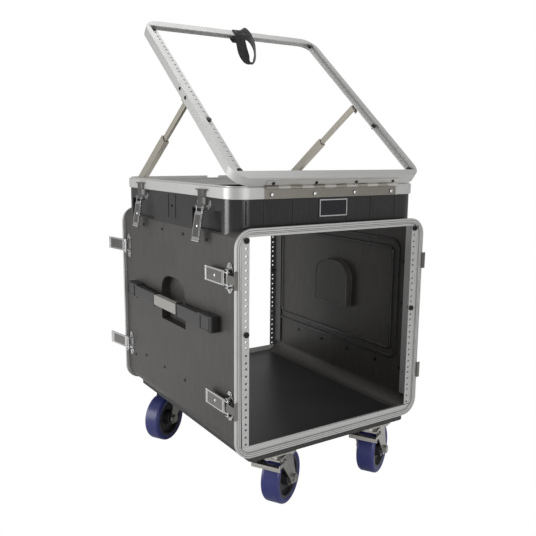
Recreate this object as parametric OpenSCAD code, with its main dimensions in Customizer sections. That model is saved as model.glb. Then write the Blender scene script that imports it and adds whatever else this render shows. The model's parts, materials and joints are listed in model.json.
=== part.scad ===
// Pop-up rack case on casters: front and rear rack bay, tilting top rack frame on struts.
// Millimetres. +X right, +Y to the rear, +Z up, origin on the ground at the middle of the outline.

/* [Rack] */
// Rack units in the front and rear bay
bay_units = 10; // [6:1:14]
// Rack units in the tilting lid
lid_units = 12; // [8:1:12]
// Distance between the two hole columns
hole_columns = 465.1; // [465:0.1:465.2]
// Clear width between the rails
rack_clear = 450; // [450:0.5:452]
// Radius of a rail's threaded holes
rail_hole_r = 2.6; // [2:0.1:3]

/* [Body] */
// Depth from the front frame's face to the rear frame's face
case_depth = 606; // [560:1:680]
// Outer width of the front and rear frames
frame_w = 519; // [510:1:530]
// Half width over the moulded side panels
panel_x = 252; // [248:0.5:255]
// Wall of the moulded panels
panel_t = 6; // [4:0.5:8]
// Corner radius of the front and rear frames
frame_r = 40; // [25:1:60]
// How far the frames' outer lip stands out past the rail faces
lip_out = 4; // [2:0.5:6]
// Width of the frame's band above the bay
band_top = 17.5; // [14:0.5:25]
// Width of the frame's band below the bay
band_bottom = 25.3; // [20:0.1:30]

/* [Top] */
// Outer width of the collar frame and the lid
top_w = 510; // [505:1:518]
// Corner radius of the collar frame and the lid
top_r = 42; // [30:1:60]
// Height of the collar frame above the bay's frame
collar_rise = 56; // [40:0.5:80]
// Height of the collar frame's outer wall
ledge_h = 23.5; // [18:0.5:30]
// Thickness of the lid frame
lid_t = 22; // [18:1:30]
// Angle at which the struts hold the lid
lid_angle = 38.9; // [20:0.1:45]

/* [Handles] */
// Length of a side handle
handle_len = 465; // [300:1:480]
// Height of a handle bar at its ends
handle_h = 36; // [28:1:45]
// How far a handle stands out from the panel
handle_out = 23; // [20:1:40]
// Length of the soft grip
grip_len = 123; // [90:1:160]

/* [Casters] */
// Height from the ground to the underside of the base board
caster_h = 152; // [140:1:170]
// Wheel radius
wheel_r = 63.5; // [50:0.5:66]
// Wheel width
wheel_w = 46; // [35:1:50]
// Distance from the swivel axis to the wheel's axle
trail = 50; // [25:1:55]
// Swivel axes: half spacing across
caster_x = 142; // [110:1:170]
// How far the base board and its casters sit off the middle, to the right
board_shift = 6; // [0:1:10]
// Swivel axes: half spacing front to rear
caster_y = 256; // [200:1:257]

/* [Latches] */
// Length of a lever on the front and rear edges
edge_lever = 89; // [70:1:115]
// Length of a lever on the collar
top_lever = 72; // [60:1:90]
// How far the rear levers stand open
rear_open = 170; // [90:1:172]

/* [Hidden] */
$fn = 64;
unit_h = 44.45;
hole_row = [6.35, 22.225, 38.1];
fit = 0.05;
gap = 0.3;

// The levers that stand open behind the case move the middle of the outline forward
edge_pin_y = -24;
edge_claw = 8;
curl_r = 3;
curl_x = 2;
front_reach = case_depth/2 + edge_claw;
rear_reach = case_depth/2 + edge_pin_y + curl_x*sin(rear_open) - edge_lever*cos(rear_open) + curl_r;
case_y = (front_reach - rear_reach)/2;

// Heights
board_t = 20.3;
board_top = caster_h + board_t;
body_z = board_top + 0.2;
frame_z = body_z - 4.3;
bay_z = frame_z + band_bottom;
bay_h = bay_units*unit_h;
frame_top = bay_z + bay_h + band_top;
frame_h = frame_top - frame_z;
seam_z = bay_z + bay_h - 0.5;
ledge_z = frame_top + collar_rise;
joint_z = ledge_z + ledge_h;
half_d = case_depth/2;
ring_t = 3;
body_d = case_depth - 2*ring_t - 0.6;
body_r = 38;
rail_w = 18.5;
rail_x = rack_clear/2 + rail_w;
rail_t = 2.5;

// Top outline
lid_open_len = lid_units*unit_h;
lid_band = 22.5;
top_len = lid_open_len + 2*lid_band;
top_y = 2;
top_front = top_y - top_len/2;
top_x = top_w/2;
wall_t = 4;
side_band = 12;
inset = 3;

// Lid hinge and struts, in the side view
hinge_out = 3.6;
hinge_y = top_front - 4;
hinge_z = joint_z;
hinge_len = 360;
knuckles = 12;
pin_r = 1.75;
strut_x = 236;
strut_base = [225, joint_z - 7.5];
strut_lid_closed = [hinge_y + 296, hinge_z - 4];
lid_arm = strut_lid_closed - [hinge_y, hinge_z];
strut_lid = [hinge_y + lid_arm[0]*cos(lid_angle) - lid_arm[1]*sin(lid_angle),
             hinge_z + lid_arm[0]*sin(lid_angle) + lid_arm[1]*cos(lid_angle)];
strut_len = norm(strut_lid - strut_base);
strut_angle = atan2(strut_lid[1] - strut_base[1], strut_base[0] - strut_lid[0]);
channel_len = 192;
channel_x = 7;
channel_z = 10;
channel_t = 1.8;
rod_start = 152;

// Handles
handle_y = 4.5;
grip_y = 1.5;
handle_z = bay_z + 253;
pocket_y = 3;
pocket_w = 132;
pocket_low = handle_z - 50;
pocket_rise = 62;
pocket_tall = 113;
pocket_d = 24;

// Latches
edge_latch_z = [bay_z + 86.5, bay_z + 360];
top_latch_y = [-164, 168];
top_pocket_y = [-171, 175];
top_latch_z = ledge_z - 0.5;
top_pin_y = -21;
top_claw = 17;
top_rest = 9;
front_rest = 0;
latch_pin_x = 9.5;
latch_pin_r = 2;
plate_w = 24;

// Fasteners
rivet_y = [-170, -55.5, 59.5, 174];
column_rivet_z = [bay_z + 79, bay_z + 246, bay_z + 351];
rivet_top = bay_z + 426;
rivet_low = bay_z + 77;
hinge_screw_x = [-164, -55, 55, 164];
strap_x = -5;
bay_bolts = [[9, 2], [5, 1]];
lid_bolts_at = [[0, 0], [3, 2], [11, 2]];

// ---- placing ----
module in_case() { translate([0, case_y, 0]) children(); }
module on_both_sides() { for (m = [0, 1]) mirror([m, 0, 0]) children(); }
module at_both_ends() { for (m = [0, 1]) mirror([0, m, 0]) children(); }
module from_face() { rotate([90, 0, 0]) children(); }
module lid_open()
    translate([0, hinge_y, hinge_z]) rotate([lid_angle, 0, 0]) translate([0, -hinge_y, -hinge_z])
        children();

// ---- outlines ----
module rounded(w, h, r) {
    square([w - 2*r, h], center = true);
    square([w, h - 2*r], center = true);
    for (sx = [-1, 1], sy = [-1, 1]) translate([sx*(w/2 - r), sy*(h/2 - r)]) circle(r);
}
module slab(w, h, r, low, high)
    translate([0, 0, low]) linear_extrude(high - low) rounded(w, h, r);
module hole_line(units, first, step_axis)
    for (u = [0:units - 1], h = hole_row)
        translate(step_axis*(first + u*unit_h + h)) circle(rail_hole_r, $fn = 24);

// ---- moulded body ----
module side_outline() {
    translate([0, body_r]) square([panel_t, seam_z - body_z - body_r]);
    translate([body_r, body_r]) difference() {
        circle(body_r);
        circle(body_r - panel_t);
        translate([-body_r - 1, 0]) square([2*body_r + 2, body_r + 1]);
        translate([0, -body_r - 1]) square([body_r + 1, 2*body_r + 2]);
    }
}
module pocket_outline(grow) {
    r = pocket_w/2 + grow;
    polygon(concat([[-r, -grow], [r, -grow]],
        [for (a = [0:7.5:180]) [r*sign(cos(a))*pow(abs(cos(a)), 0.7),
                                pocket_rise + (pocket_tall - pocket_rise + grow)*pow(sin(a), 0.8)]]));
}
// The right panel, standing at its own place
module side_panel() {
    wall_in = panel_x - panel_t;
    rib = [525, 304];
    difference() {
        translate([panel_x, body_d/2, body_z]) rotate([90, 0, 0]) mirror([1, 0, 0])
            linear_extrude(body_d) side_outline();
        translate([wall_in - 1, pocket_y, pocket_low]) rotate([90, 0, 90])
            linear_extrude(panel_t + 2) pocket_outline(0);
    }
    translate([panel_x - pocket_d, pocket_y, pocket_low]) rotate([90, 0, 90]) difference() {
        linear_extrude(pocket_d - panel_t + 2) pocket_outline(4);
        translate([0, 0, 4]) linear_extrude(pocket_d) pocket_outline(0);
    }
    for (step = [0, 40]) translate([wall_in - 2.6, 19.5, bay_z + 250]) rotate([90, 0, 90])
        linear_extrude(4) difference() {
            rounded(rib[0] - step, rib[1] - step, 24 - step/4);
            rounded(rib[0] - step - 8, rib[1] - step - 8, 20 - step/4);
        }
}
module side_left() color("#232323") in_case() mirror([1, 0, 0]) side_panel();
module side_right() color("#232323") in_case() side_panel();
module floor_pan() color("#1c1c1c") in_case()
    translate([-panel_x + body_r, -body_d/2, body_z]) cube([2*(panel_x - body_r), body_d, panel_t]);

// Rounded shoulders that close the shell in front of and behind the collar
module shoulder(from_y, len) {
    tall = seam_z + 13 - body_z;
    r = 22;
    wide = 2*(panel_x + 2.1);
    translate([0, from_y, body_z + tall/2]) rotate([-90, 0, 0]) linear_extrude(len) difference() {
        rounded(wide, tall, r);
        rounded(wide - 2*panel_t, tall - 2*panel_t, r - panel_t);
        translate([-panel_x - 5, -tall/2 + 12.8]) square([2*panel_x + 10, tall]);
        for (s = [-1, 1]) translate([s*(panel_x + 5) - 5, -tall/2 - 1]) square([10, tall]);
    }
}
module deck_strips() color("#232323") in_case() {
    front_len = top_front + inset + body_d/2 + top_r;
    rear_len = body_d/2 - (top_front + top_len - inset) + top_r;
    difference() {
        union() {
            shoulder(-body_d/2, front_len);
            shoulder(body_d/2 - rear_len, rear_len);
        }
        translate([0, top_y, 0]) slab(2*(top_x - inset + gap), top_len - 2*(inset - gap), top_r + gap,
            seam_z - 2, seam_z + 20);
    }
}

// Collar wall with its pockets behind the upper latches
collar_pocket = [132, 44, 10];
module collar_wall(low, high, x_out, t)
    translate([0, top_y, low]) linear_extrude(high - low) difference() {
        rounded(2*x_out, top_len - 2*inset, top_r);
        rounded(2*(x_out - t), top_len - 2*inset - 2*t, top_r - t);
    }
module collar() color("#262626") in_case() {
    x_out = top_x - inset;
    t = 4;
    pocket_z = seam_z + 4;
    difference() {
        collar_wall(seam_z + 0.2, ledge_z - 0.2, x_out, t);
        at_both_ends() translate([-rail_x, 0, seam_z - 1]) cube([2*rail_x, half_d, 7]);
        on_both_sides() for (y = top_pocket_y)
            translate([x_out - t - 1, y - collar_pocket[0]/2, pocket_z])
                cube([t + 2, collar_pocket[0], collar_pocket[1]]);
    }
    on_both_sides() for (y = top_pocket_y)
        translate([x_out - collar_pocket[2] - 3, y - collar_pocket[0]/2 - 3, pocket_z - 3])
            difference() {
                cube([collar_pocket[2] + 2.5, collar_pocket[0] + 6, collar_pocket[1] + 6]);
                translate([3, 3, 3]) cube([collar_pocket[2] + 5, collar_pocket[0], collar_pocket[1]]);
            }
    for (x = [-222, -179, -107, -39, 39, 109, 184])
        translate([x - 1, top_front + inset - 1.2, frame_top + 3]) cube([2, 2, ledge_z - frame_top - 6]);
}

// ---- aluminium frames ----
module bay_frame() difference() {
    union() {
        from_face() translate([0, frame_z + frame_h/2, -ring_t])
            linear_extrude(ring_t) rounded(frame_w, frame_h, frame_r);
        from_face() translate([0, frame_z + frame_h/2, -0.01]) linear_extrude(lip_out + 0.01) difference() {
            rounded(frame_w, frame_h, frame_r);
            rounded(frame_w - 22, frame_h - 22, frame_r - 11);
        }
    }
    translate([-rail_x, -5, bay_z]) cube([2*rail_x, 10, bay_h]);
}
module front_frame() color("silver") in_case() translate([0, -half_d, 0]) bay_frame();
module rear_frame() color("silver") in_case() mirror([0, 1, 0]) translate([0, -half_d, 0]) bay_frame();

module strap_notch() translate([strap_x - 2, top_len/2 - 12, joint_z - 2.6]) cube([36, 14, 10]);
module base_frame() color("silver") in_case() translate([0, top_y, 0]) {
    difference() {
        slab(top_w, top_len, top_r, ledge_z, joint_z);
        slab(top_w - 10, top_len - 10, top_r - 5, ledge_z + 3, joint_z + 1);
        slab(top_w - 60, top_len - 60, 14, ledge_z - 1, joint_z + 1);
        strap_notch();
    }
    difference() {
        slab(top_w - 9.98, top_len - 9.98, top_r - 5, joint_z - 6, joint_z + 3.2);
        slab(top_w - 13.6, top_len - 13.6, top_r - 6.8, joint_z - 7, joint_z + 4);
        strap_notch();
    }
}

// ---- rails ----
module bay_rail() {
    from_face() translate([0, 0, -rail_t]) linear_extrude(rail_t) difference() {
        translate([rack_clear/2, bay_z + gap]) square([rail_w - gap, bay_h - 2*gap]);
        translate([hole_columns/2, bay_z]) hole_line(bay_units, 0, [0, 1]);
    }
    translate([rail_x - gap - rail_t, 1, bay_z + 18]) cube([rail_t, 34, bay_h - 18 - gap]);
}
module bay_rails() on_both_sides() translate([0, -half_d, 0]) bay_rail();
module front_rails() color("silver") in_case() bay_rails();
module rear_rails() color("silver") in_case() mirror([0, 1, 0]) bay_rails();
module screw(head_r, head_h, shank_l) {
    cylinder(r = head_r, h = head_h, $fn = 32);
    translate([0, 0, -shank_l]) cylinder(r = rail_hole_r - fit, h = shank_l + 0.1, $fn = 24);
}
module rail_bolts() color("#161616") in_case() at_both_ends() on_both_sides()
    for (b = bay_bolts)
        translate([hole_columns/2, -half_d, bay_z + b[0]*unit_h + hole_row[b[1]]])
            from_face() screw(6, 3.5, 10);

// ---- handles ----
module handle_bar() {
    half = handle_len/2;
    inner = handle_out - 12;
    neck = grip_y - handle_y;
    difference() {
        linear_extrude(handle_h, center = true) polygon([
            [0, -half], [handle_out - 3, -half], [handle_out, -half + 4], [handle_out, half - 4],
            [handle_out - 3, half], [0, half], [0, half - 36], [inner, half - 120],
            [inner, -half + 120], [0, -half + 36]]);
        for (s = [-1, 1]) translate([-1, -half + 60, s*(handle_h/2 + 12) - 15])
            cube([handle_out + 2, handle_len - 120, 30]);
        for (s = [-1, 1]) translate([-1, neck - grip_len/2, s*20 - 10])
            cube([handle_out + 2, grip_len, 20]);
        translate([handle_out - 2, neck - grip_len/2, -20]) cube([5, grip_len, 40]);
    }
}
module handle_bars() color("#1e1e1e") in_case() on_both_sides()
    translate([panel_x + 0.1, handle_y, handle_z]) handle_bar();
module handle_grips() color("#a8a8a4") in_case() on_both_sides()
    translate([panel_x + 0.1, grip_y, handle_z]) difference() {
        translate([handle_out - 13.5, -grip_len/2 + gap, -12.5]) cube([14, grip_len - 2*gap, 25]);
        translate([handle_out - 12 - fit, -grip_len, -10 - fit]) cube([10 + 2*fit, 2*grip_len, 20 + 2*fit]);
    }

module base_board() color("#141414") in_case()
    translate([board_shift, -0.5, 0]) slab(448, case_depth - 11, 12, caster_h, board_top);

// ---- hinge ----
module knuckle_row(first)
    for (k = [first:2:knuckles - 1])
        translate([-hinge_len/2 + k*hinge_len/knuckles + gap/2, 0, 0]) rotate([0, 90, 0])
            linear_extrude(hinge_len/knuckles - gap) difference() {
                circle(hinge_out, $fn = 32);
                circle(pin_r + fit, $fn = 32);
            }
module leaf(first, s) {
    difference() {
        translate([-hinge_len/2, 2, s > 0 ? 0 : -ledge_h]) cube([hinge_len, 1.9, s > 0 ? 16 : ledge_h]);
        for (k = [1 - first:2:knuckles - 1])
            translate([-hinge_len/2 + k*hinge_len/knuckles - gap/2, -hinge_out, -hinge_out - 0.6])
                cube([hinge_len/knuckles + gap, 3*hinge_out, 2*hinge_out + 1.2]);
        rotate([0, 90, 0]) cylinder(r = pin_r + fit, h = hinge_len + 2, center = true, $fn = 32);
    }
    knuckle_row(first);
}
module hinge_lower_leaf() color("#9a948a") in_case() translate([0, hinge_y, hinge_z]) leaf(0, -1);
module hinge_upper_leaf() color("#b4aea4") in_case() lid_open() translate([0, hinge_y, hinge_z]) leaf(1, 1);
module hinge_pin() color("#8a8a8a") in_case() translate([0, hinge_y, hinge_z]) rotate([0, 90, 0])
    cylinder(r = pin_r, h = hinge_len, center = true, $fn = 32);

module badge() color("#2a2a2c") in_case()
    translate([-38, top_front + inset - 1.6, ledge_z - 42]) cube([76, 1.5, 37]);

// ---- struts ----
// The strut's pins stand on brackets fixed to the walls outside them
wall_x = top_x - 5;
module strut_base_brackets() color("#b9b09a") in_case() on_both_sides() {
    translate([wall_x - 3, strut_base[0] - 15, ledge_z + 3.2]) cube([2.9, 30, joint_z - 6.2 - ledge_z - 3.2]);
    translate([strut_x - channel_x - 1, strut_base[0], strut_base[1]]) rotate([0, 90, 0])
        cylinder(r = 3, h = wall_x - 1 - strut_x + channel_x, $fn = 32);
}
module strut_lid_brackets() color("#c9c2b0") in_case() lid_open() on_both_sides() {
    bracket_x = wall_x - 4.8;
    translate([bracket_x, strut_lid_closed[0] - 26, joint_z + 9]) cube([2.4, 52, 9.5]);
    translate([bracket_x, strut_lid_closed[0] - 10, strut_lid_closed[1] - 7])
        cube([2.4, 20, joint_z + 10 - strut_lid_closed[1] + 7]);
    for (s = [-1, 1]) translate([bracket_x + 1, strut_lid_closed[0] + s*17, joint_z + 13.5])
        rotate([0, 90, 0]) cylinder(r = 3.5, h = 3.7, $fn = 32);
}
module in_strut(side) in_case() translate([side*strut_x, strut_base[0], strut_base[1]])
    rotate([-strut_angle, 0, 0]) children();
module channel(side) color("#b5ab92") in_strut(side) difference() {
    translate([-channel_x, -channel_len, -channel_z]) cube([2*channel_x, channel_len + 6, 2*channel_z]);
    translate([-channel_x + channel_t, -channel_len - 1, -channel_z + channel_t])
        cube([2*(channel_x - channel_t), channel_len + 8, 2*(channel_z - channel_t)]);
    rotate([0, 90, 0]) cylinder(r = 3 + fit, h = 40, center = true, $fn = 32);
    for (y = [26:14:channel_len - 10]) translate([0, -y, 0])
        cylinder(r = 2.4, h = 40, $fn = 24);
}
// The rod's eye faces the lid's bracket across a small gap
module rod(side) color("#8f8a80") in_strut(side) {
    translate([-4, -strut_len - 7, -7]) cube([8, strut_len + 7 - rod_start, 14]);
    translate([side*4.4, -strut_len, 0]) rotate([0, 90, 0]) cylinder(r = 5, h = 8.9, center = true, $fn = 32);
}
module strut_channel_left() channel(-1);
module strut_channel_right() channel(1);
module strut_rod_left() rod(-1);
module strut_rod_right() rod(1);

// ---- lid ----
module lid_frame() color("silver") in_case() lid_open() translate([0, top_y, 0]) {
    low = joint_z + 0.4;
    high = joint_z + lid_t;
    difference() {
        slab(top_w, top_len, top_r, low, high);
        slab(top_w - 8.8, top_len - 8.8, top_r - 4.4, low - 1, high - 3);
        translate([-rail_x, -lid_open_len/2, low - 1]) cube([2*rail_x, lid_open_len, lid_t + 2]);
    }
}
module lid_rails() color("silver") in_case() lid_open() on_both_sides() {
    face_z = joint_z + 15.5;
    first = top_y - lid_open_len/2;
    translate([0, 0, face_z - rail_t]) linear_extrude(rail_t) difference() {
        translate([rack_clear/2, first + gap]) square([rail_w - gap, lid_open_len - 2*gap]);
        translate([hole_columns/2, first]) hole_line(lid_units, 0, [0, 1]);
    }
    translate([rail_x - gap - 2, first + gap, face_z - 1]) cube([2, lid_open_len - 2*gap, 6.5]);
}
module lid_bolts() color("#161616") in_case() lid_open() {
    first = top_y - lid_open_len/2;
    on_both_sides() for (b = lid_bolts_at)
        translate([hole_columns/2, first + b[0]*unit_h + hole_row[b[1]], joint_z + 15.5])
            screw(6, 3.5, 8);
    for (x = hinge_screw_x) translate([x, hinge_y + 2, hinge_z + 9]) from_face() cylinder(r = 3.6, h = 1.2);
}
// Webbing loop round the lid's rear member, with its hand loop hanging from it
module strap() color("#101010") in_case() lid_open() {
    near = top_y + lid_open_len/2;
    w = 32;
    t = 2;
    depth = lid_band;
    translate([strap_x, near - t - 0.4, joint_z - t]) difference() {
        cube([w, depth + 2*t + 0.8, lid_t + 2*t + 0.4]);
        translate([-1, t, t]) cube([w + 2, depth + 0.8, lid_t + 0.4]);
    }
    translate([strap_x, near - 3.4, joint_z + 10]) rotate([-lid_angle - 90, 0, 0]) difference() {
        union() {
            translate([0, 0, -8]) cube([w, 62, 16]);
            translate([0, 62, 0]) rotate([0, 90, 0]) cylinder(r = 8, h = w);
        }
        translate([-1, t, -6]) cube([w + 2, 60, 12]);
        translate([-1, 62, 0]) rotate([0, 90, 0]) cylinder(r = 6, h = w + 2);
    }
}

// ---- latches: drawn flat on a plane at x = 0, with the edge at y = 0 ----
// Plate with two ears, cheeks and pin; the pin stands at pin_y, the plate starts at plate_y
module latch_base(pin_y, plate_y) {
    rotate([0, 90, 0]) linear_extrude(2) {
        translate([-23, plate_y]) square([46, plate_w]);
        for (s = [-1, 1]) translate([s*23, plate_y + plate_w/2]) circle(9);
    }
    for (s = [-1, 1]) {
        translate([2, pin_y - 5, s*19 - 1]) cube([latch_pin_x + 3.5 - 2, 10, 2]);
        translate([2, plate_y + plate_w/2, s*26]) rotate([0, 90, 0]) cylinder(r = 3.2, h = 1.4, $fn = 24);
    }
    translate([latch_pin_x, pin_y, 0]) cylinder(r = latch_pin_r, h = 37, center = true, $fn = 32);
}
module latch_claw(pin_y, reach) {
    difference() {
        union() {
            translate([latch_pin_x, pin_y, 0]) cylinder(r = 4, h = 18, center = true, $fn = 32);
            translate([latch_pin_x + 0.5, pin_y, -9]) cube([2.6, reach - pin_y, 18]);
        }
        translate([latch_pin_x, pin_y, 0]) cylinder(r = latch_pin_r + fit, h = 20, center = true, $fn = 32);
    }
    translate([4, reach - 2.6, -19]) cube([latch_pin_x - 0.9, 2.6, 38]);
}
module lever_shape(reach) {
    for (s = [-1, 1]) translate([0, 0, s*12.5]) linear_extrude(3, center = true) difference() {
        union() {
            circle(4, $fn = 32);
            translate([0, -14]) square([3.6, 14]);
        }
        circle(latch_pin_r + fit, $fn = 32);
    }
    translate([1.2, -reach, -16]) cube([2.4, reach - 10, 32]);
    for (s = [-1, 1]) translate([0.4, -reach + 8, s*15.2 - 0.8]) cube([2.6, reach - 24, 1.6]);
    translate([curl_x, -reach, 0]) cylinder(r = curl_r, h = 32, center = true, $fn = 32);
}
// Right rear corner is the plain one; the others are mirrored from it
module at_edge(sx, sy, z)
    translate([sx*panel_x, sy*half_d, z]) mirror([sx < 0 ? 1 : 0, 0, 0])
        mirror([0, sy < 0 ? 1 : 0, 0]) children();
module at_top(sx, y)
    translate([sx*(top_x - inset), y, top_latch_z]) mirror([sx < 0 ? 1 : 0, 0, 0])
        rotate([90, 0, 0]) children();
module lever(pin_y, reach, open) color("#c8c8c8")
    translate([latch_pin_x, pin_y, 0]) rotate([0, 0, open]) lever_shape(reach);

module latch_bases() color("#b8b8b8") in_case() {
    for (sx = [-1, 1], sy = [-1, 1], z = edge_latch_z) at_edge(sx, sy, z) latch_base(edge_pin_y, -42);
    for (sx = [-1, 1], y = top_latch_y) at_top(sx, y) latch_base(top_pin_y, -25);
}
module latch_claws() color("#a8a8a8") in_case() {
    for (sx = [-1, 1], z = edge_latch_z) at_edge(sx, -1, z) latch_claw(edge_pin_y, edge_claw);
    for (sx = [-1, 1], y = top_latch_y) at_top(sx, y) latch_claw(top_pin_y, top_claw);
}
module edge_lever_at(sx, sy, i) in_case() at_edge(sx, sy, edge_latch_z[i])
    lever(edge_pin_y, edge_lever, sy > 0 ? rear_open : front_rest);
module top_lever_at(sx, i) in_case() at_top(sx, top_latch_y[i]) lever(top_pin_y, top_lever, top_rest);
module lever_front_left_low() edge_lever_at(-1, -1, 0);
module lever_front_left_high() edge_lever_at(-1, -1, 1);
module lever_front_right_low() edge_lever_at(1, -1, 0);
module lever_front_right_high() edge_lever_at(1, -1, 1);
module lever_rear_left_low() edge_lever_at(-1, 1, 0);
module lever_rear_left_high() edge_lever_at(-1, 1, 1);
module lever_rear_right_low() edge_lever_at(1, 1, 0);
module lever_rear_right_high() edge_lever_at(1, 1, 1);
module lever_top_left_front() top_lever_at(-1, 0);
module lever_top_left_rear() top_lever_at(-1, 1);
module lever_top_right_front() top_lever_at(1, 0);
module lever_top_right_rear() top_lever_at(1, 1);

// ---- rivets and screws on the body ----
module rivet(r) { cylinder(r = r, h = 1.4, $fn = 24); }
module panel_rivets() color("#303030") in_case() {
    on_both_sides() {
        for (y = rivet_y, z = [rivet_low, rivet_top]) {
            translate([panel_x, y, z]) rotate([0, 90, 0]) rivet(3.5);
            translate([panel_x - panel_t, y, z]) rotate([0, -90, 0]) rivet(4.5);
        }
        translate([panel_x, 250, bay_z + 60]) rotate([0, 90, 0]) rivet(3.5);
        translate([top_x - inset, 2, ledge_z - 31]) rotate([0, 90, 0]) rivet(3.5);
        for (z = column_rivet_z)
            translate([panel_x - panel_t, -half_d + 42, z]) rotate([0, -90, 0]) rivet(4.5);
    }
    for (x = hinge_screw_x) translate([x, hinge_y + 2, hinge_z - 15]) from_face() cylinder(r = 3.6, h = 1.2);
}

// ---- casters: pivot at the origin, wheel trailing towards +y ----
plate = 84;
fork_x = 33;
fork_t = 3.5;
crown_z = wheel_r*2 + 7;
pedal_pivot = [2, crown_z - 10];
spots = [[-1, -1, -60], [1, -1, -60], [-1, 1, 120], [1, 1, 120]];
function spot(s) = [board_shift + s[0]*caster_x, s[1]*caster_y, 0];
module at_caster(i) in_case() translate(spot(spots[i]))
    rotate([0, 0, spots[i][2]]) children();
module caster_plates() color("#b9b9b9") in_case()
    for (s = spots) translate(spot(s)) {
        slab(plate, plate, 8, caster_h - 3.5, caster_h - 0.05);
        translate([0, 0, crown_z + 4.5]) cylinder(r = 20, h = caster_h - crown_z - 6);
    }
module caster_bolts() color("#8f8f8f") in_case()
    for (s = spots, bx = [-1, 1], by = [-1, 1])
        translate(spot(s) + [bx*32, by*32, caster_h - 3.5 - 5])
            cylinder(r = 6.5, h = 4.95, $fn = 6);
module leg_outline() {
    polygon([[-16, crown_z + 4], [40, crown_z + 4], [trail + 12, wheel_r + 4],
             [trail - 12, wheel_r - 3], [-16, crown_z - 7]]);
    translate([trail, wheel_r]) circle(14.5);
}
module fork(i) color("#b3b0a8") at_caster(i) {
    difference() {
        union() {
            translate([-fork_x, -28, crown_z]) cube([2*fork_x, 68, 4]);
            translate([0, 0, crown_z + 3]) cylinder(r = 28, h = 9.5);
            for (s = [-1, 1]) translate([s*(fork_x - fork_t/2) - fork_t/2, 0, 0]) rotate([90, 0, 90])
                linear_extrude(fork_t) leg_outline();
        }
        translate([0, 0, crown_z + 4]) cylinder(r = 20 + fit, h = 20);
        translate([-100, -100, -1]) cube([200, 200, 30]);
    }
    translate([0, trail, wheel_r]) rotate([0, 90, 0]) {
        cylinder(r = 6, h = 2*fork_x + 12, center = true);
        for (s = [-1, 1]) translate([0, 0, s*(fork_x + 3)]) cylinder(r = 11, h = 7, center = true, $fn = 6);
    }
    if (i < 2) translate([0, pedal_pivot[0], pedal_pivot[1]]) rotate([0, 90, 0])
        cylinder(r = 3, h = 2*fork_x + 8, center = true, $fn = 32);
}
module core(i) color("#2b2b2b") at_caster(i) translate([0, trail, wheel_r]) rotate([0, 90, 0])
    rotate_extrude() difference() {
        union() {
            translate([6 + fit, -wheel_w/2 - 4]) square([14, wheel_w + 8]);
            translate([18, -9]) square([30, 18]);
            translate([44, -wheel_w/2 + 2]) square([7, wheel_w - 4]);
        }
        translate([0, -50]) square([6 + fit, 100]);
    }
module tyre(i) color("#262c68") at_caster(i) translate([0, trail, wheel_r]) rotate([0, 90, 0])
    rotate_extrude($fn = 96) {
        r = 8;
        translate([51.1, -wheel_w/2 + 2]) square([wheel_r - 51.1 - r, wheel_w - 4]);
        translate([51.1, -wheel_w/2 + r]) square([wheel_r - 51.1, wheel_w - 2*r]);
        for (s = [-1, 1]) translate([wheel_r - r, s*(wheel_w/2 - r)]) circle(r);
    }
module pedal(i) color("#c6c3ba") at_caster(i) {
    for (s = [-1, 1]) translate([s*(fork_x + 1.8) - 1.25, 0, 0]) rotate([90, 0, 90])
        linear_extrude(2.5) difference() {
            union() {
                translate(pedal_pivot) circle(6);
                translate([-30, pedal_pivot[1] - 6]) square([32, 8]);
            }
            translate(pedal_pivot) circle(3 + fit, $fn = 32);
        }
    translate([-fork_x - 3, -30, pedal_pivot[1] - 6]) cube([2*fork_x + 6, 12.5, 2.5]);
    translate([-fork_x - 3, -30, pedal_pivot[1] - 13]) cube([2*fork_x + 6, 2.5, 9.5]);
}
module fork_front_left() fork(0);
module fork_front_right() fork(1);
module fork_rear_left() fork(2);
module fork_rear_right() fork(3);
module wheel_core_front_left() core(0);
module wheel_core_front_right() core(1);
module wheel_core_rear_left() core(2);
module wheel_core_rear_right() core(3);
module tyre_front_left() tyre(0);
module tyre_front_right() tyre(1);
module tyre_rear_left() tyre(2);
module tyre_rear_right() tyre(3);
module pedal_left() pedal(0);
module pedal_right() pedal(1);

side_left();
side_right();
floor_pan();
deck_strips();
collar();
front_frame();
rear_frame();
base_frame();
front_rails();
rear_rails();
rail_bolts();
handle_bars();
handle_grips();
base_board();
hinge_lower_leaf();
hinge_pin();
badge();
strut_base_brackets();
latch_bases();
latch_claws();
panel_rivets();
caster_plates();
caster_bolts();
lid_frame();
lid_rails();
lid_bolts();
hinge_upper_leaf();
strut_lid_brackets();
strap();
strut_channel_left();
strut_channel_right();
strut_rod_left();
strut_rod_right();
fork_front_left();
fork_front_right();
fork_rear_left();
fork_rear_right();
wheel_core_front_left();
wheel_core_front_right();
wheel_core_rear_left();
wheel_core_rear_right();
tyre_front_left();
tyre_front_right();
tyre_rear_left();
tyre_rear_right();
pedal_left();
pedal_right();
lever_front_left_low();
lever_front_left_high();
lever_front_right_low();
lever_front_right_high();
lever_rear_left_low();
lever_rear_left_high();
lever_rear_right_low();
lever_rear_right_high();
lever_top_left_front();
lever_top_left_rear();
lever_top_right_front();
lever_top_right_rear();
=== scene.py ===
import json
from math import radians, sin, cos, pi
import bpy
import bmesh
from mathutils import Matrix, Vector


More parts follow.
